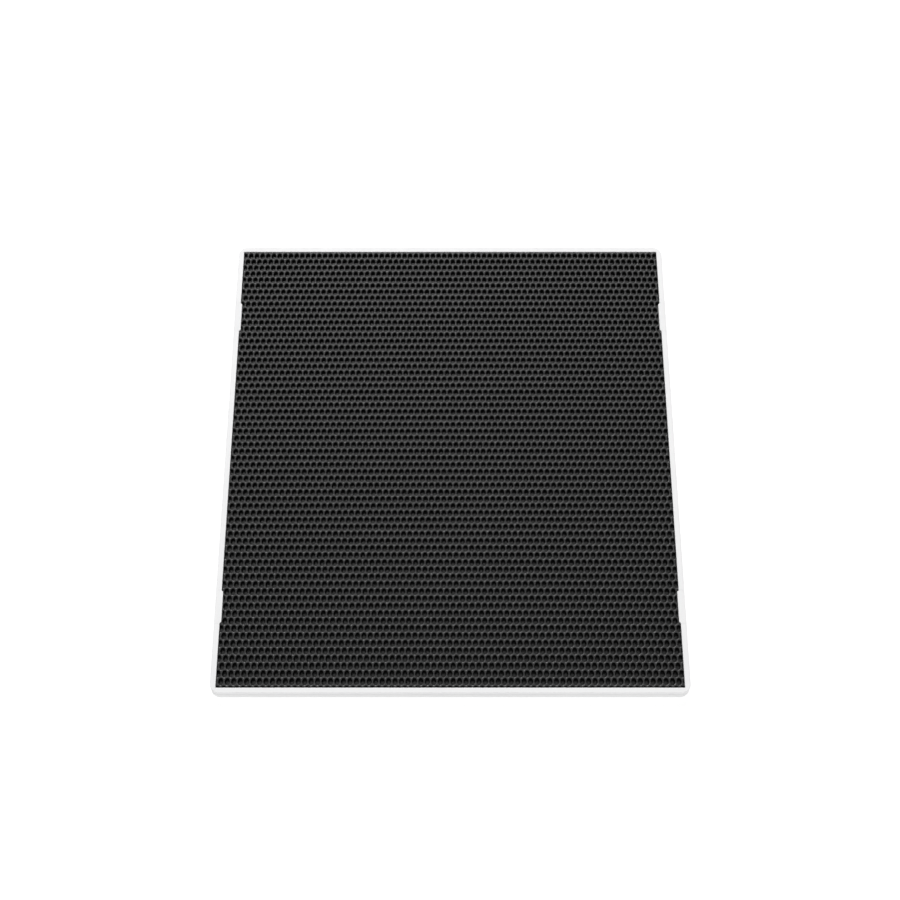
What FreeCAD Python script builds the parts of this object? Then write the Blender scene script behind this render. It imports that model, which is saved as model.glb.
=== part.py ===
import FreeCAD, Part
import math
import os

# A framed scraper door mat: a black honeycomb rubber insert lying in a shallow white tray.
# A white rim bezel caps the tray's wall, four U-shaped clips hold bezel and tray together,
# and rubber feet keep the tray off the ground.
# Lengths are in millimetres. The origin is on the ground under the middle of the mat,
# +X runs across the mat, +Y runs from its front edge to its rear edge, and +Z is up.

# Driving dimensions
frame_width = 450.0
frame_depth = 500.0
rim_width = 5.4
corner_radius = 9.5
well_corner_radius = 0.6

# Levels above the ground, from the bottom up
tray_bottom = 1.0
rib_bottom = 1.2
floor_bottom = 2.7
floor_top = 4.7
seam_level = 9.0
backing_top = 9.2
honeycomb_top = 12.7
rim_top = 13.0

# Tray wall: an outer skin and an inner skin with an open channel between them
outer_skin = 2.4
inner_skin = 1.5
channel_bottom = 5.0
tray_foot_round = 0.6

# The seam is an open groove around the outside, between the tray's wall and the bezel
groove_height = 0.5
groove_depth = 0.8
seam_chamfer = 0.15

# Underside ribs
rib_thickness = 1.4
rib_columns = 6
rib_rows = 7

# Rim bezel
rim_round = 0.6
rim_inner_round = 0.3
tongue_gap = 0.15
tongue_bottom = 6.6

# Side clips, each a U over the rim with a lip that keys into a notch in the insert
clip_length = 34.0
clip_from_middle = 163.0
clip_plate = 2.6
clip_lip = 1.5
clip_leg = 1.5
clip_leg_bottom = 4.3
clip_inner_leg_bottom = 5.2
clip_fit_gap = 0.05
clip_end_gap = 0.1
clip_round = 0.3
hook_height = 1.2
hook_reach = 0.5
hook_pocket_gap = 0.1

# Insert: a honeycomb grid bonded to a backing sheet
insert_gap = 0.35

# Rubber feet in ring sockets under the tray
foot_radius = 8.0
foot_chamfer = 0.6
foot_from_side = 40.0
foot_from_end = 40.0
socket_gap = 0.25
socket_wall = 1.5

# Sizes worked out from the ones above
half_width = frame_width / 2
half_depth = frame_depth / 2
well_width = frame_width - 2 * rim_width
well_depth = frame_depth - 2 * rim_width
channel_inset = rim_width - inner_skin
clip_seat = rim_top - clip_plate
clip_half = clip_length / 2
lip_inset = rim_width + clip_lip
margin = 1.0


def rounded_block(width, depth, radius, low, high):
    """An upright block centred on the Z axis, with rounded upright edges."""
    corner = FreeCAD.Vector(-width / 2, -depth / 2, low)
    block = Part.makeBox(width, depth, high - low, corner)
    upright = [edge for edge in block.Edges if edge.BoundBox.ZLength > 0.5 * (high - low)]
    return block.makeFillet(radius, upright)


def inset_block(inset, low, high):
    """A block whose outline runs inside the frame's outline at an even distance."""
    return rounded_block(
        frame_width - 2 * inset, frame_depth - 2 * inset, corner_radius - inset, low, high
    )


def well_block(low, high):
    """The well that the insert lies in."""
    return rounded_block(well_width, well_depth, well_corner_radius, low, high)


def edges_at(shape, level):
    """The shape's edges that lie flat at one level."""
    return [
        edge
        for edge in shape.Edges
        if edge.BoundBox.ZLength < 0.01 and abs(edge.CenterOfMass.z - level) < 0.01
    ]


def extruded(points, low, high):
    """An upright solid over a polygon of (x, y) points."""
    corners = [FreeCAD.Vector(x, y, low) for x, y in points]
    face = Part.Face(Part.makePolygon(corners + corners[:1]))
    return face.extrude(FreeCAD.Vector(0, 0, high - low))


def box_between(x_range, y_range, z_range):
    """A plain block between two values on each axis."""
    return Part.makeBox(
        x_range[1] - x_range[0],
        y_range[1] - y_range[0],
        z_range[1] - z_range[0],
        FreeCAD.Vector(x_range[0], y_range[0], z_range[0]),
    )


def at_clip_sites(piece):
    """Four copies of a piece made for the middle of the right-hand side."""
    copies = []
    for x_side in (-1, 1):
        for y_side in (-1, 1):
            copies.append(placed_at_site(piece, x_side, y_side))
    return copies


def placed_at_site(piece, x_side, y_side):
    """A piece made for the middle of the right-hand side, moved to one clip's place."""
    placed = piece.copy()
    if x_side < 0:
        placed = placed.mirror(FreeCAD.Vector(0, 0, 0), FreeCAD.Vector(1, 0, 0))
    placed.translate(FreeCAD.Vector(0, y_side * clip_from_middle, 0))
    return placed


def lip_outline(gap):
    """The plan of a clip's lip inside the rim, grown by a gap, as (x, y) points."""
    end_shift = gap * math.sqrt(2)
    low_x = half_width - lip_inset - gap
    high_x = half_width - rim_width
    low_half = clip_half - clip_lip - gap + end_shift
    high_half = clip_half + end_shift
    return [(low_x, -low_half), (low_x, low_half), (high_x, high_half), (high_x, -high_half)]


def clip_leg_recess():
    """The space that a clip's outer leg and hook take out of the frame's side."""
    half = clip_half + clip_end_gap
    leg_x = half_width - clip_leg - clip_fit_gap
    leg = box_between(
        (leg_x, half_width + margin),
        (-half, half),
        (clip_leg_bottom - clip_end_gap, rim_top + margin),
    )
    pocket = box_between(
        (leg_x - hook_reach - hook_pocket_gap, leg_x + margin),
        (-half, half),
        (clip_leg_bottom - clip_end_gap, clip_leg_bottom + hook_height + hook_pocket_gap),
    )
    return leg.fuse(pocket)


def clip_plate_recess():
    """The space that a clip's top plate takes out of the bezel."""
    half = clip_half + clip_end_gap
    return box_between(
        (half_width - rim_width - margin, half_width + margin),
        (-half, half),
        (clip_seat, rim_top + margin),
    )


def spread(count, span):
    """Evenly spaced places across a span, without its two ends."""
    return [span * (index / (count + 1) - 0.5) for index in range(1, count + 1)]


def foot_places():
    """Each foot's name and its (x, y) centre."""
    x_away = half_width - foot_from_side
    y_away = half_depth - foot_from_end
    rows = (("front", -y_away), ("middle", 0.0), ("rear", y_away))
    columns = (("left", -x_away), ("right", x_away))
    return {row + "_" + column: (x, y) for row, y in rows for column, x in columns}


def underside_ribs():
    """The grid of ribs under the tray's floor, trimmed by the tray's skirt."""
    half_rib = rib_thickness / 2
    ribs = []
    for x in spread(rib_columns, frame_width):
        ribs.append(
            box_between(
                (x - half_rib, x + half_rib), (-half_depth, half_depth), (rib_bottom, floor_bottom)
            )
        )
    for y in spread(rib_rows, frame_depth):
        ribs.append(
            box_between(
                (-half_width, half_width), (y - half_rib, y + half_rib), (rib_bottom, floor_bottom)
            )
        )
    grid = ribs[0].multiFuse(ribs[1:])
    return grid.common(inset_block(outer_skin / 2, rib_bottom, floor_bottom))


def foot_sockets(radius):
    """One upright cylinder for each foot, from the ribs' lower edges to the floor."""
    return [
        Part.makeCylinder(radius, floor_bottom - rib_bottom, FreeCAD.Vector(x, y, rib_bottom))
        for x, y in foot_places().values()
    ]


def seam_groove():
    """The ring of space that the seam's groove takes out of the tray's wall."""
    low = seam_level - groove_height
    high = seam_level + margin
    return inset_block(-margin, low, high).cut(inset_block(groove_depth, low, high))


def base_tray():
    """Shallow white tray: floor, double wall, underside ribs and foot sockets."""
    body = inset_block(0, tray_bottom, seam_level)
    body = body.makeFillet(tray_foot_round, edges_at(body, tray_bottom))
    body = body.cut(seam_groove())
    body = body.cut(inset_block(outer_skin, tray_bottom - margin, floor_bottom))
    body = body.cut(well_block(floor_top, seam_level + margin))
    channel = inset_block(outer_skin, channel_bottom, seam_level + margin)
    channel = channel.cut(inset_block(channel_inset, channel_bottom, seam_level + margin))
    body = body.cut(channel)
    socket_radius = foot_radius + socket_gap
    body = body.multiFuse([underside_ribs()] + foot_sockets(socket_radius + socket_wall))
    body = body.cut(foot_sockets(socket_radius))
    return body.cut(at_clip_sites(clip_leg_recess())).removeSplitter()


def rim_block():
    """The frame's outer shape above the seam, with its rounded top edge."""
    body = inset_block(0, seam_level, rim_top)
    return body.makeFillet(rim_round, edges_at(body, rim_top))


def rim_bezel():
    """White ring on top of the tray's wall, with a tongue that drops into its channel."""
    body = rim_block()
    body = body.makeChamfer(seam_chamfer, edges_at(body, seam_level))
    tongue = inset_block(outer_skin + tongue_gap, tongue_bottom, seam_level + margin)
    tongue_core = inset_block(channel_inset - tongue_gap, tongue_bottom, seam_level + margin)
    body = body.fuse(tongue.cut(tongue_core))
    opening = well_block(tongue_bottom - margin, rim_top + margin)
    body = body.cut(opening)
    body = body.makeFillet(rim_inner_round, inner_top_edges(body))
    recesses = at_clip_sites(clip_plate_recess()) + at_clip_sites(clip_leg_recess())
    return body.cut(recesses).removeSplitter()


def inner_top_edges(ring):
    """The edges around the ring's opening, at the top of the rim."""
    reach_x = well_width / 2 + 0.01
    reach_y = well_depth / 2 + 0.01
    return [
        edge
        for edge in edges_at(ring, rim_top)
        if edge.BoundBox.XMax < reach_x
        and edge.BoundBox.XMin > -reach_x
        and edge.BoundBox.YMax < reach_y
        and edge.BoundBox.YMin > -reach_y
    ]


def side_clip():
    """U-shaped clip for the middle of the right-hand side, flush with the frame around it."""
    rim_x = half_width - rim_width
    lip = lip_outline(0)
    plate_outline = lip[:3] + [(half_width, clip_half), (half_width, -clip_half)] + lip[3:]
    plate = extruded(plate_outline, clip_seat, rim_top)
    lip_edges = [edge for edge in edges_at(plate, rim_top) if edge.BoundBox.XMax < rim_x + 0.01]
    plate = plate.makeFillet(clip_round, lip_edges)
    plate = plate.common(rim_block())
    inner_leg = extruded(lip, clip_inner_leg_bottom, clip_seat)
    inner_leg = inner_leg.cut(
        box_between(
            (rim_x - clip_fit_gap, rim_x + margin),
            (-clip_length, clip_length),
            (clip_inner_leg_bottom - margin, clip_seat),
        )
    )
    leg_x = half_width - clip_leg
    leg_half = (-clip_half, clip_half)
    outer_leg = box_between((leg_x, half_width), leg_half, (clip_leg_bottom, clip_seat))
    hook_profile = [
        FreeCAD.Vector(leg_x, -clip_half, clip_leg_bottom),
        FreeCAD.Vector(leg_x - hook_reach, -clip_half, clip_leg_bottom + hook_height),
        FreeCAD.Vector(leg_x, -clip_half, clip_leg_bottom + hook_height),
    ]
    hook_face = Part.Face(Part.makePolygon(hook_profile + hook_profile[:1]))
    hook = hook_face.extrude(FreeCAD.Vector(0, clip_length, 0))
    return plate.multiFuse([inner_leg, outer_leg, hook]).removeSplitter()


def insert_slab(low, high):
    """A flat slab that fills the well with a small gap all round, notched for the clips."""
    slab = rounded_block(
        well_width - 2 * insert_gap, well_depth - 2 * insert_gap, well_corner_radius, low, high
    )
    notch = extruded(lip_outline(insert_gap), low - margin, high + margin)
    return slab.cut(at_clip_sites(notch))


def rubber_foot(x, y):
    """Round foot pad, glued up against the tray's floor."""
    foot = Part.makeCylinder(foot_radius, floor_bottom, FreeCAD.Vector(x, y, 0))
    return foot.makeChamfer(foot_chamfer, edges_at(foot, 0))


def all_parts():
    """Every piece by its node name."""
    parts = {
        "base_tray": base_tray(),
        "rim_bezel": rim_bezel(),
        "backing_sheet": insert_slab(floor_top, backing_top),
        "honeycomb_grid": insert_slab(backing_top, honeycomb_top),
    }
    clip = side_clip()
    for y_side, row in ((-1, "front"), (1, "rear")):
        for x_side, column in ((-1, "left"), (1, "right")):
            parts["side_clip_" + row + "_" + column] = placed_at_site(clip, x_side, y_side)
    for name, (x, y) in foot_places().items():
        parts["rubber_foot_" + name] = rubber_foot(x, y)
    return parts


os.makedirs("parts", exist_ok=True)
for part_name, shape in all_parts().items():
    print(part_name, "solids", len(shape.Solids), "valid", shape.isValid(), "mm3", round(shape.Volume))
    shape.exportStep("parts/" + part_name + ".step")
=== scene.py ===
import bpy
import bmesh
import math
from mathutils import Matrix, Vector


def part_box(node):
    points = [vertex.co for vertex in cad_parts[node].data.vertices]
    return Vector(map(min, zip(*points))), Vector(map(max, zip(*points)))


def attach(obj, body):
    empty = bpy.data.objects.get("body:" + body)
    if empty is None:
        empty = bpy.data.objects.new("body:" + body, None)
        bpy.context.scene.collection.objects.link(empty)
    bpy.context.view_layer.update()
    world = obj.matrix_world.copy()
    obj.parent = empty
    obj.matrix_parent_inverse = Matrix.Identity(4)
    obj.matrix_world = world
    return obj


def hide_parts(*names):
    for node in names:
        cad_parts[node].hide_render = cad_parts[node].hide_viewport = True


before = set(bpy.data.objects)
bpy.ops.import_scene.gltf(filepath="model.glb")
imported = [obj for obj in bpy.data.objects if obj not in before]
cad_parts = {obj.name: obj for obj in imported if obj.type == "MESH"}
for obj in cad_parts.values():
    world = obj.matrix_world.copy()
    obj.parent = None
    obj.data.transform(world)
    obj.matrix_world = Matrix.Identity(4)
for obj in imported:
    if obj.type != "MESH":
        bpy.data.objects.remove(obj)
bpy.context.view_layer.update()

# Lengths are in metres. The frame gives the place of every piece; the values below are the
# sizes that the frame doesn't hold, such as the cells of the honeycomb.

# Honeycomb lattice: rows of pointed cells, longer in depth than in width. Its middle column
# stands a little to the left of the mat's middle line.
cell_width = 0.0060454
cell_depth = 0.0075783
first_row_inset = 0.7215 * cell_depth
first_column = -0.00025
apex_reach = cell_depth * 2 / 3
side_reach = cell_depth / 3

# A cell's wall in section: a low ridge along its middle line, a nearly flat crest, a rounded
# shoulder, and a side that leans out to the foot. Insets are from the middle line.
ridge_inset = 0.00015
ridge_drop = 0.00005
crest_inset = 0.0005
crest_drop = 0.0001
shoulder_width = 0.0003
shoulder_height = 0.0005
foot_inset = 0.0012

# Share of its sides that a cell's corners lose at the foot, where the opening is roundest
foot_blunt = 0.48

# The floor of each cell rises a little towards its middle
floor_crown = 0.0002
crown_inset = 0.0018

# The honeycomb is made in bands of rows, from the rear to the front
band_names = ("honeycomb_rear", "honeycomb_middle", "honeycomb_front")

# How far the bake's map draws the hidden faces of a cell inside its opening
map_step = 0.0008

# The gap between the insert and the well, and between its notches and the clips' lips
notch_gap = 0.00035

# How far past a notch the mesh is cut
notch_reach = 0.012

# How much of a cut side's height shows beyond the plan on the bake's map, and how much wider
# than the insert the map is
side_lay = 0.3
map_margin = 1.02

# Camera
camera_lens = 68.98
camera_tilt = math.radians(27.66)
camera_side = -0.0002
camera_back = 0.7960
camera_height = 1.5432

# Light: a wide lamp behind the mat, white walls all round, and a light table under it
key_turn = math.radians(6)
key_rise = math.radians(45)
key_width = math.radians(23)
key_strength = 2.3
walls_front = 0.92
walls_rear = 0.22
walls_shown = 1.1
table_glow = 0.80
table_colour = (0.3, 0.3, 0.3)
table_half = 6.0

grid_low, grid_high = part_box("honeycomb_grid")
sheet_low, sheet_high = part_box("backing_sheet")
well_half_depth = grid_high.y + notch_gap
bezel_inner_x = grid_high.x + notch_gap
map_span = max(grid_high.x - grid_low.x, grid_high.y - grid_low.y) * map_margin


# ---------------------------------------------------------------- lattice and trimming


def cell_centres(first_row, last_row):
    """Centres of the cells in these rows, a little past the insert's sides."""
    centres = []
    columns = math.ceil(grid_high.x / cell_width) + 1
    for row in range(first_row, last_row + 1):
        y = well_half_depth - first_row_inset - row * cell_depth
        shift = cell_width / 2 * (row % 2)
        for column in range(-columns, columns + 1):
            centres.append((first_column + column * cell_width + shift, y))
    return centres


def row_range():
    """Number of the first and last row of cells that touch the insert."""
    last = math.ceil((well_half_depth * 2 - first_row_inset) / cell_depth)
    return -1, last


def hexagon(inset):
    """Corners of a pointed cell set in from its wall's middle, clockwise from the rear apex."""
    slope = math.atan2(apex_reach - side_reach, cell_width / 2)
    half = cell_width / 2 - inset
    apex = apex_reach - inset / math.cos(slope)
    side = apex - half * math.tan(slope)
    return [(0, apex), (half, side), (half, -side), (0, -apex), (-half, -side), (-half, side)]


def blunted(inset):
    """The same outline with its corners cut: two points for each corner, in the same order.

    The cuts start at nothing on the wall's middle line and grow fast at first.
    """
    blunt = foot_blunt * math.sqrt(inset / foot_inset)
    corners = hexagon(inset)
    outline = []
    for i, corner in enumerate(corners):
        for other in (corners[i - 1], corners[(i + 1) % 6]):
            outline.append(tuple(a + (b - a) * blunt for a, b in zip(corner, other)))
    return outline


class Lattice:
    """Collects the faces of many cells and shares the vertices on the walls' middle lines."""

    def __init__(self):
        self.points = []
        self.faces = []
        self.maps = []
        self.shared = {}
        self.borders = {}

    def add(self, point):
        self.points.append(point)
        return len(self.points) - 1

    def share(self, point):
        key = tuple(round(value * 1e6) for value in point)
        if key not in self.shared:
            self.shared[key] = self.add(point)
        return self.shared[key]

    def face(self, corners, spots):
        self.faces.append(corners)
        self.maps.append(spots)


def ring(lattice, outer, inner, outer_spots, inner_spots):
    """Quads between two rings with the same number of points."""
    count = len(outer)
    for i in range(count):
        j = (i + 1) % count
        corners = [outer[i], inner[i], inner[j], outer[j]]
        lattice.face(corners, [outer_spots[i], inner_spots[i], inner_spots[j], outer_spots[j]])


def plate(lattice, outer, inner, outer_spots, inner_spots):
    """The faces between a cell's six shared corners and the twelve points of a blunted outline."""
    for i in range(6):
        j = (i + 1) % 6
        near = 2 * i
        far = near + 1
        corners = [inner[near], inner[far], outer[i]]
        lattice.face(corners, [inner_spots[near], inner_spots[far], outer_spots[i]])
        corners = [inner[far], inner[2 * j], outer[j], outer[i]]
        lattice.face(corners, [inner_spots[far], inner_spots[2 * j], outer_spots[j], outer_spots[i]])


def moved(outline, centre):
    return [(centre[0] + x, centre[1] + y) for x, y in outline]


def wall_section(top, bottom):
    """Inset and height of the four rings of a cell's wall, from its crest to its foot."""
    return [
        (ridge_inset, top - ridge_drop),
        (crest_inset, top - crest_drop),
        (crest_inset + shoulder_width, top - crest_drop - shoulder_height),
        (foot_inset, bottom),
    ]


def honeycomb_cell(lattice, centre, top, bottom):
    """One open cell: half of the walls around it, from their crests to their undersides."""
    border = moved(hexagon(0), centre)
    under_spots = moved(hexagon(foot_inset + map_step), centre)
    border_top = [lattice.share((x, y, top)) for x, y in border]
    border_bottom = [lattice.share((x, y, bottom)) for x, y in border]
    spots = []
    rings = []
    for inset, height in wall_section(top, bottom):
        outline = moved(blunted(inset), centre)
        spots.append(outline)
        rings.append([lattice.add((x, y, height)) for x, y in outline])
    plate(lattice, border_top, rings[0], border, spots[0])
    for i in range(len(rings) - 1):
        ring(lattice, rings[i], rings[i + 1], spots[i], spots[i + 1])
    plate(lattice, border_bottom, rings[-1], under_spots, spots[-1])
    for i in range(6):
        j = (i + 1) % 6
        edge = (border_top[i], border_top[j], border_bottom[j], border_bottom[i])
        key = frozenset(edge)
        if key in lattice.borders:
            del lattice.borders[key]
        else:
            lattice.borders[key] = (edge, [border[i], border[j], border[j], border[i]])


def floor_cell(lattice, centre, floor):
    """The crowned floor of one cell."""
    border = moved(hexagon(0), centre)
    crown = moved(hexagon(crown_inset), centre)
    border_ring = [lattice.share((x, y, floor - floor_crown)) for x, y in border]
    crown_ring = [lattice.add((x, y, floor)) for x, y in crown]
    ring(lattice, border_ring, crown_ring, border, crown)
    lattice.face(crown_ring, crown)


def lattice_mesh(name, lattice):
    """A mesh of a finished lattice, with the bake's map laid out in plan."""
    mesh = bpy.data.meshes.new(name)
    mesh.from_pydata(lattice.points, [], lattice.faces)
    layer = mesh.uv_layers.new(name="OFBake")
    flat = []
    for spots in lattice.maps:
        for x, y in spots:
            flat.extend((0.5 + x / map_span, 0.5 + y / map_span))
    layer.uv.foreach_set("vector", flat)
    return mesh


def notch_places():
    """Middle y, half length and inner x of each pair of notches, from the clips in them."""
    places = []
    for row in ("front", "rear"):
        low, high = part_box("side_clip_" + row + "_right")
        places.append(((low.y + high.y) / 2, (high.y - low.y) / 2, low.x))
    return places


def everything(bm, keep=lambda point: True):
    """The faces of a mesh whose middle is wanted, with their edges and vertices."""
    faces = [face for face in bm.faces if keep(face.calc_center_median())]
    edges = dict.fromkeys(edge for face in faces for edge in face.edges)
    verts = dict.fromkeys(vert for face in faces for vert in face.verts)
    return list(verts) + list(edges) + faces


def cut(bm, point, normal, keep=lambda point: True, clear=False):
    """Cuts a mesh along a plane, and clears what lies beyond it if asked."""
    bmesh.ops.bisect_plane(
        bm, geom=everything(bm, keep), plane_co=point, plane_no=normal, clear_outer=clear, dist=1e-7
    )


def cut_notch(bm, side, middle, half, lip_x):
    """Takes one clip's notch out of the insert's side."""
    floor_x = lip_x - notch_gap

    def near(point):
        return point.x * side > floor_x - notch_reach and abs(point.y - middle) < half + notch_reach

    # The clip's lip narrows by as much as it reaches inward, at 45 degrees.
    lip_reach = bezel_inner_x - lip_x
    end_shift = notch_gap * math.sqrt(2)
    floor_half = half - lip_reach - notch_gap + end_shift
    cut(bm, (side * floor_x, 0, 0), (side, 0, 0), near)
    for end in (-1, 1):
        corner = (side * floor_x, middle + end * floor_half, 0)
        cut(bm, corner, (-side, end, 0), near)
    inside = []
    for face in bm.faces:
        point = face.calc_center_median()
        depth = point.x * side - floor_x
        if depth > 0 and abs(point.y - middle) < floor_half + depth:
            inside.append(face)
    bmesh.ops.delete(bm, geom=inside, context="FACES")


def trim(bm, low, high):
    """Cuts the insert's four straight sides and its four notches."""
    cut(bm, (low.x, 0, 0), (-1, 0, 0), clear=True)
    cut(bm, (high.x, 0, 0), (1, 0, 0), clear=True)
    cut(bm, (0, low.y, 0), (0, -1, 0), clear=True)
    cut(bm, (0, high.y, 0), (0, 1, 0), clear=True)
    for middle, half, lip_x in notch_places():
        for side in (-1, 1):
            cut_notch(bm, side, middle, half, lip_x)


def open_edges(bm):
    return [edge for edge in bm.edges if edge.is_boundary]


def side_spots(bm, faces):
    """Lays the cut sides just outside the plan on the bake's map."""
    layer = bm.loops.layers.uv["OFBake"]
    for face in faces:
        for loop in face.loops:
            point = loop.vert.co
            drop = (grid_high.z - point.z) * side_lay
            x = point.x + math.copysign(drop, point.x) * abs(face.normal.x)
            y = point.y + math.copysign(drop, point.y) * abs(face.normal.y)
            loop[layer].uv = (0.5 + x / map_span, 0.5 + y / map_span)


def placed(name, mesh, node):
    """An object for a mesh that stands for a CAD node and moves with the insert."""
    mesh.shade_smooth()
    mesh.set_sharp_from_angle(angle=math.radians(62))
    piece = bpy.data.objects.new(name, mesh)
    bpy.context.scene.collection.objects.link(piece)
    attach(piece, "insert")
    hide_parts(node)
    return piece


def honeycomb_band(name, first_row, last_row):
    """Some rows of the honeycomb, closed on all sides."""
    lattice = Lattice()
    for centre in cell_centres(first_row, last_row):
        honeycomb_cell(lattice, centre, grid_high.z, grid_low.z)
    for corners, spots in lattice.borders.values():
        lattice.face(list(corners), spots)
    mesh = lattice_mesh(name, lattice)
    bm = bmesh.new()
    bm.from_mesh(mesh)
    bmesh.ops.recalc_face_normals(bm, faces=bm.faces)
    trim(bm, grid_low, grid_high)
    filled = bmesh.ops.holes_fill(bm, edges=open_edges(bm), sides=0)["faces"]
    bmesh.ops.recalc_face_normals(bm, faces=bm.faces)
    side_spots(bm, filled)
    bm.to_mesh(mesh)
    bm.free()
    return placed(name, mesh, "honeycomb_grid")


def walls_down(bm, edges, level):
    """Upright faces from these edges down to a level."""
    below = {}
    faces = []
    for edge in edges:
        for vert in edge.verts:
            if vert not in below:
                below[vert] = bm.verts.new((vert.co.x, vert.co.y, level))
    for edge in edges:
        first, second = edge.verts
        faces.append(bm.faces.new((first, second, below[second], below[first])))
    return faces


def backing():
    """The sheet under the honeycomb, with its crowned cell floors, sides and underside."""
    lattice = Lattice()
    first_row, last_row = row_range()
    for centre in cell_centres(first_row, last_row):
        floor_cell(lattice, centre, sheet_high.z)
    mesh = lattice_mesh("cell_floor", lattice)
    bm = bmesh.new()
    bm.from_mesh(mesh)
    trim(bm, sheet_low, sheet_high)
    sides = walls_down(bm, open_edges(bm), sheet_low.z)
    filled = bmesh.ops.holes_fill(bm, edges=open_edges(bm), sides=0)["faces"]
    bmesh.ops.recalc_face_normals(bm, faces=bm.faces)
    side_spots(bm, sides + filled)
    bm.to_mesh(mesh)
    bm.free()
    return placed("cell_floor", mesh, "backing_sheet")


# ---------------------------------------------------------------- materials


def started(name):
    """A new node material: its tree, its Principled shader and its object coordinates."""
    material = bpy.data.materials.new(name)
    material.use_nodes = True
    tree = material.node_tree
    shader = tree.nodes["Principled BSDF"]
    place = tree.nodes.new("ShaderNodeTexCoord")
    return material, tree, shader, place.outputs["Object"]


def noise(tree, place, feature, detail=3.0):
    """Noise whose blobs measure about one feature length across, as a value from 0 to 1."""
    node = tree.nodes.new("ShaderNodeTexNoise")
    node.inputs["Scale"].default_value = 1.0 / feature
    node.inputs["Detail"].default_value = detail
    tree.links.new(place, node.inputs["Vector"])
    return node.outputs["Fac"]


def spread(tree, value, low, high):
    """A value stretched from 0.3-0.7 to the range low-high."""
    node = tree.nodes.new("ShaderNodeMapRange")
    node.inputs["From Min"].default_value = 0.3
    node.inputs["From Max"].default_value = 0.7
    node.inputs["To Min"].default_value = low
    node.inputs["To Max"].default_value = high
    tree.links.new(value, node.inputs["Value"])
    return node.outputs["Result"]


def blended(tree, factor, first, second):
    """A colour between two, by a factor. Either one may be a colour or a socket."""
    node = tree.nodes.new("ShaderNodeMix")
    node.data_type = "RGBA"
    tree.links.new(factor, node.inputs["Factor"])
    for socket, value in ((node.inputs[6], first), (node.inputs[7], second)):
        if isinstance(value, bpy.types.NodeSocket):
            tree.links.new(value, socket)
        else:
            socket.default_value = (*value, 1.0)
    return node.outputs[2]


def bumped(tree, shader, height, strength, distance):
    """Feeds a height into the shader's normal."""
    node = tree.nodes.new("ShaderNodeBump")
    node.inputs["Strength"].default_value = strength
    node.inputs["Distance"].default_value = distance
    tree.links.new(height, node.inputs["Height"])
    tree.links.new(node.outputs["Normal"], shader.inputs["Normal"])


def plastic(name, light, dark, rough, grain, depth):
    """Moulded plastic: a faint mottle, uneven gloss and a fine grain."""
    material, tree, shader, place = started(name)
    mottle = spread(tree, noise(tree, place, 0.035), 0.0, 1.0)
    tree.links.new(blended(tree, mottle, light, dark), shader.inputs["Base Color"])
    gloss = spread(tree, noise(tree, place, 0.006), rough[0], rough[1])
    tree.links.new(gloss, shader.inputs["Roughness"])
    bumped(tree, shader, noise(tree, place, grain, 2.0), 0.4, depth)
    return material


def rubber(name, deep, raised, low, high, rough, specular):
    """Black rubber running from its deep colour low down to its raised colour high up, in random patches,
    with a fine skin; on the honeycomb and the cell floors the darker low part is painted shade.
    """
    material, tree, shader, place = started(name)
    apart = tree.nodes.new("ShaderNodeSeparateXYZ")
    tree.links.new(place, apart.inputs["Vector"])
    rise = tree.nodes.new("ShaderNodeMapRange")
    rise.interpolation_type = "SMOOTHSTEP"
    rise.inputs["From Min"].default_value = low
    rise.inputs["From Max"].default_value = high
    tree.links.new(apart.outputs["Z"], rise.inputs["Value"])
    patches = spread(tree, noise(tree, place, 0.03), 0.88, 1.0)
    # Darker low down by height (painted shade on the honeycomb and the cell floors), times random patches
    # of tone
    height_shade_and_patches = tree.nodes.new("ShaderNodeMath")
    height_shade_and_patches.operation = "MULTIPLY"
    tree.links.new(rise.outputs["Result"], height_shade_and_patches.inputs[0])
    tree.links.new(patches, height_shade_and_patches.inputs[1])
    tree.links.new(blended(tree, height_shade_and_patches.outputs[0], deep, raised), shader.inputs["Base Color"])
    gloss = spread(tree, noise(tree, place, 0.004), rough[0], rough[1])
    tree.links.new(gloss, shader.inputs["Roughness"])
    shader.inputs["Specular IOR Level"].default_value = specular
    bumped(tree, shader, noise(tree, place, 0.0005, 2.0), 0.3, 0.00004)
    return material


def dress(node, material):
    """Gives a CAD node's object this material."""
    mesh_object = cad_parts[node]
    for slot in mesh_object.material_slots:
        slot.link = "OBJECT"
        slot.material = material


def dress_frame():
    """Materials of the pieces that are shown as the frame gives them."""
    bezel = plastic("bezel_white", (0.79, 0.79, 0.79), (0.77, 0.77, 0.775), (0.46, 0.56), 0.0006, 0.00001)
    tray = plastic("tray_white", (0.77, 0.77, 0.77), (0.75, 0.75, 0.755), (0.5, 0.6), 0.0008, 0.00002)
    clip = plastic("clip_white", (0.79, 0.79, 0.79), (0.77, 0.77, 0.775), (0.50, 0.60), 0.0006, 0.00002)
    foot = rubber("foot_grey", (0.10, 0.10, 0.105), (0.13, 0.13, 0.135), 0.0, 0.003, (0.6, 0.75), 0.3)
    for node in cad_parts:
        if node.startswith("side_clip"):
            dress(node, clip)
        elif node.startswith("rubber_foot"):
            dress(node, foot)
    dress("rim_bezel", bezel)
    dress("base_tray", tray)


# ---------------------------------------------------------------- camera, light and floor


def add_camera():
    data = bpy.data.cameras.new("view")
    data.lens = camera_lens
    data.sensor_width = 36.0
    data.clip_end = 50.0
    camera = bpy.data.objects.new("view", data)
    camera.location = (camera_side, -camera_back, camera_height)
    camera.rotation_euler = (camera_tilt, 0.0, 0.0)
    bpy.context.scene.collection.objects.link(camera)
    bpy.context.scene.camera = camera


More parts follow.
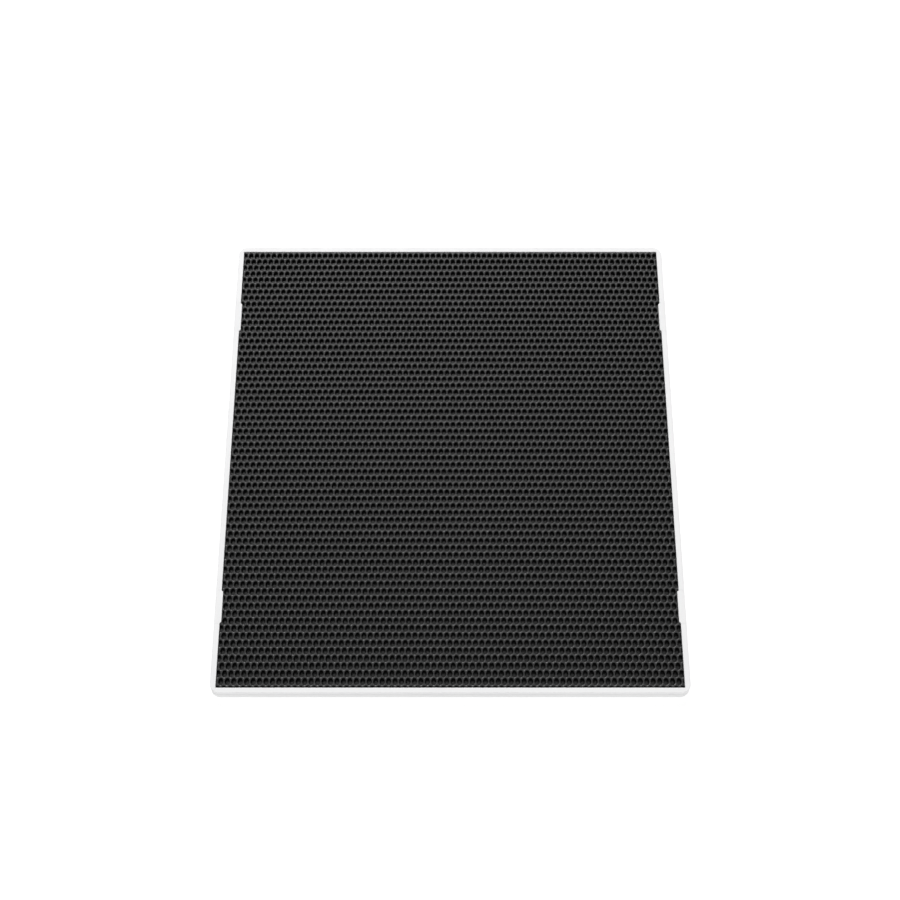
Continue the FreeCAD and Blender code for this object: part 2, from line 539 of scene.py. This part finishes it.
def add_key():
    """A wide far lamp behind the mat, turned to the left and raised above the horizon."""
    data = bpy.data.lights.new("key", "SUN")
    data.angle = key_width
    data.energy = key_strength
    light = bpy.data.objects.new("key", data)
    level = math.cos(key_rise)
    place = Vector((-level * math.sin(key_turn), level * math.cos(key_turn), math.sin(key_rise)))
    light.location = place * 3.0
    light.rotation_euler = (-place).to_track_quat("-Z", "Y").to_euler()
    bpy.context.scene.collection.objects.link(light)


def add_world():
    """White walls all round: bright in front of the mat, dim behind it, shown as plain white."""
    world = bpy.data.worlds.new("studio")
    world.use_nodes = True
    tree = world.node_tree
    background = tree.nodes["Background"]
    direction = tree.nodes.new("ShaderNodeTexCoord")
    apart = tree.nodes.new("ShaderNodeSeparateXYZ")
    tree.links.new(direction.outputs["Generated"], apart.inputs["Vector"])
    fade = tree.nodes.new("ShaderNodeMapRange")
    fade.interpolation_type = "SMOOTHSTEP"
    fade.inputs["From Min"].default_value = -0.5
    fade.inputs["From Max"].default_value = 0.45
    fade.inputs["To Min"].default_value = walls_front
    fade.inputs["To Max"].default_value = walls_rear
    tree.links.new(apart.outputs["Y"], fade.inputs["Value"])
    path = tree.nodes.new("ShaderNodeLightPath")
    seen = tree.nodes.new("ShaderNodeMix")
    tree.links.new(path.outputs["Is Camera Ray"], seen.inputs["Factor"])
    tree.links.new(fade.outputs["Result"], seen.inputs[2])
    seen.inputs[3].default_value = walls_shown
    tree.links.new(seen.outputs[0], background.inputs["Strength"])
    background.inputs["Color"].default_value = (1.0, 1.0, 1.0, 1.0)
    bpy.context.scene.world = world


def add_floor():
    """A white translucent light table: mostly its own glow, so that shadows stay faint."""
    mesh = bpy.data.meshes.new("floor")
    bm = bmesh.new()
    bmesh.ops.create_grid(bm, x_segments=4, y_segments=4, size=table_half)
    bm.to_mesh(mesh)
    bm.free()
    floor = bpy.data.objects.new("floor", mesh)
    bpy.context.scene.collection.objects.link(floor)
    material, tree, shader, place = started("floor_white")
    shader.inputs["Base Color"].default_value = (*table_colour, 1.0)
    shader.inputs["Roughness"].default_value = 0.9
    shader.inputs["Specular IOR Level"].default_value = 0.0
    shader.inputs["Emission Color"].default_value = (1.0, 1.0, 1.0, 1.0)
    shader.inputs["Emission Strength"].default_value = table_glow
    mesh.materials.append(material)


add_camera()
add_world()
add_key()
add_floor()
bpy.context.scene.view_settings.view_transform = "Standard"

# Painted shade: the rubber fades from its crest colour to almost black over the top 0.8 mm of the walls,
# painting the cells' insides dark.
honeycomb_black = rubber(
    "honeycomb_black", (0.0004, 0.0004, 0.0004), (0.0310, 0.0310, 0.0313),
    grid_high.z - 0.0008, grid_high.z, (0.31, 0.37), 0.31,
)
# Painted shade: the cell floors are an almost black copy of the rubber, darker still at their edges by
# the walls.
floor_black = rubber(
    "floor_black", (0.0002, 0.0002, 0.0002), (0.0004, 0.0004, 0.0004),
    sheet_high.z - floor_crown, sheet_high.z, (0.40, 0.48), 0.30,
)
first_row, last_row = row_range()
band_rows = math.ceil((last_row - first_row + 1) / len(band_names))
for number, name in enumerate(band_names):
    start = first_row + number * band_rows
    band = honeycomb_band(name, start, min(start + band_rows - 1, last_row))
    band.data.materials.append(honeycomb_black)
backing().data.materials.append(floor_black)
dress_frame()
